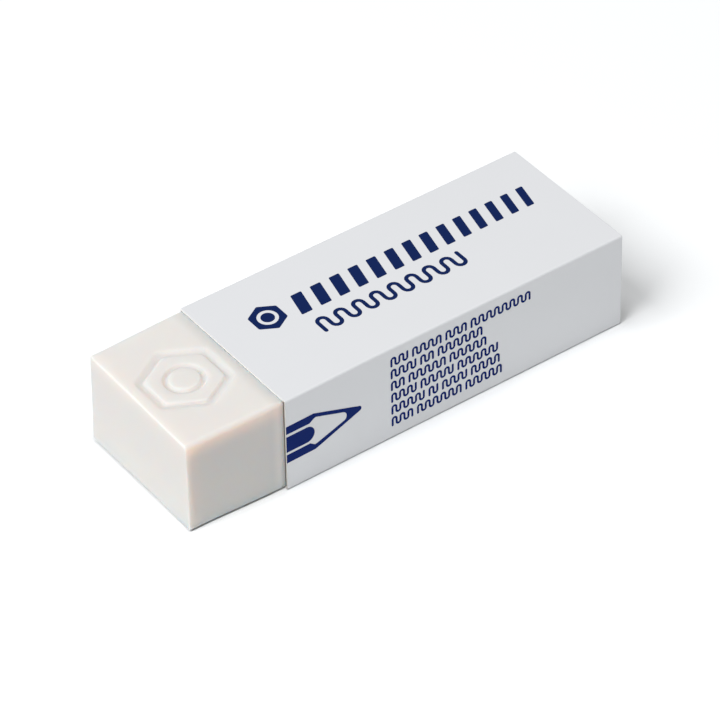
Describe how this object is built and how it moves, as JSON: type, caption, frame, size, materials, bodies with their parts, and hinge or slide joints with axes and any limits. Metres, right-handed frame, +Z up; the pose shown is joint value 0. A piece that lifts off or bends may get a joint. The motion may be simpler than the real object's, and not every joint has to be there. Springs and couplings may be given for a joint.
{
  "type": "plastic eraser",
  "caption": "Rectangular block of off-white vinyl in an open-ended folded card sleeve, bare at one end, where a hexagonal mark is pressed into its top.",
  "frame": {"origin": "middle of the underside, on the surface that the sleeve lies on", "axes": "+X along the block from its bare end to the back of the sleeve, +Z up, out of the face with the pressed mark"},
  "size_m": [0.0654, 0.022, 0.0139],
  "materials": {
    "vinyl": "matt off-white soft vinyl, faintly translucent at its edges",
    "card": "smooth white coated card, satin outside and raw inside",
    "print": "dark blue printing ink on the coated card"
  },
  "bodies": {
    "sleeve": {"card_sleeve": "card"},
    "block": {"eraser_block": "vinyl"}
  },
  "joints": [
    {"name": "block_slide", "type": "slide", "parent": "sleeve", "child": "block", "axis": [1, 0, 0], "range_m": [-0.036, 0.0136]}
  ]
}
